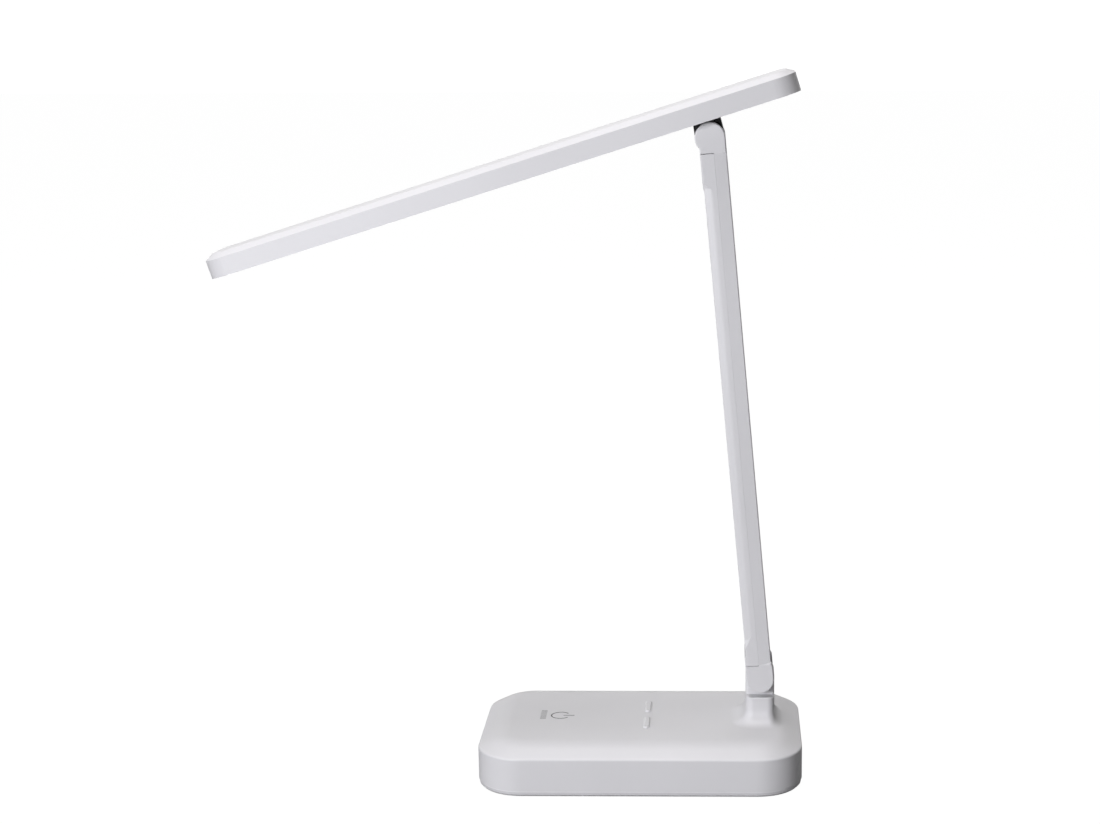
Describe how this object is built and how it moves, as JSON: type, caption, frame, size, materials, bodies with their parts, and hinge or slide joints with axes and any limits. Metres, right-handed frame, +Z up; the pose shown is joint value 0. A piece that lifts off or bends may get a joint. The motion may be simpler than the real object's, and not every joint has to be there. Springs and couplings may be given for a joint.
{
  "type": "folding desk lamp",
  "caption": "Folding desk lamp: low rounded base with a post, flat arm and slim bevelled head, each on a friction hinge, with a light panel under the head.",
  "frame": {"origin": "centre of the anti-slip pad's underside, on the table", "axes": "+X along the base towards the post, +Y to the rear, +Z up"},
  "size_m": [0.2342, 0.08, 0.283],
  "materials": {
    "white_abs": "satin moulded ABS",
    "dark_grey_abs": "satin moulded ABS",
    "opal": "fine matt, opal",
    "acetal": "natural acetal",
    "pad_rubber": "fine grained",
    "steel": "zinc plated",
    "dark_steel": "black oxide",
    "brass": "turned",
    "copper": "foil",
    "cell_wrap": "foil pouch",
    "board_green": "solder mask",
    "black_component": "moulded",
    "wire_red": "insulation",
    "led_substrate": "white solder mask",
    "phosphor": "phosphor under clear resin"
  },
  "bodies": {
    "base": {"base_shell": "white_abs", "base_cover": "white_abs", "anti_slip_pad": "pad_rubber", "base_screws": "steel", "ballast_plate": "steel", "battery_pack": "cell_wrap", "control_board": "board_green", "board_components": "black_component", "board_screws": "steel", "usb_socket": "steel", "touch_electrode": "copper"},
    "arm": {"arm_shell": "white_abs", "arm_cover": "white_abs", "arm_wires": "wire_red", "lower_hinge_screw": "steel", "lower_hinge_nut": "brass", "lower_hinge_plug": "white_abs", "lower_friction_washers": "acetal", "lower_spring_washer": "steel", "upper_hinge_screw": "steel", "upper_hinge_nut": "brass", "upper_hinge_plug": "white_abs", "upper_friction_washers": "acetal", "upper_spring_washer": "steel"},
    "head": {"hinge_lug": "dark_grey_abs", "lug_screws": "dark_steel", "head_housing": "white_abs", "end_cover": "white_abs", "diffuser": "opal", "reflector_tray": "white_abs", "led_board": "led_substrate", "led_chips": "phosphor"}
  },
  "joints": [
    {"name": "stem_fold", "type": "hinge", "parent": "base", "child": "arm", "pos_m": [0.0484, 0, 0.039], "axis": [0, 1, 0], "range_deg": [-85.1, 15.3]},
    {"name": "head_tilt", "type": "hinge", "parent": "arm", "child": "head", "pos_m": [0.02839, 0, 0.25718], "axis": [0, 1, 0], "range_deg": [-77.45, 102.1]}
  ]
}
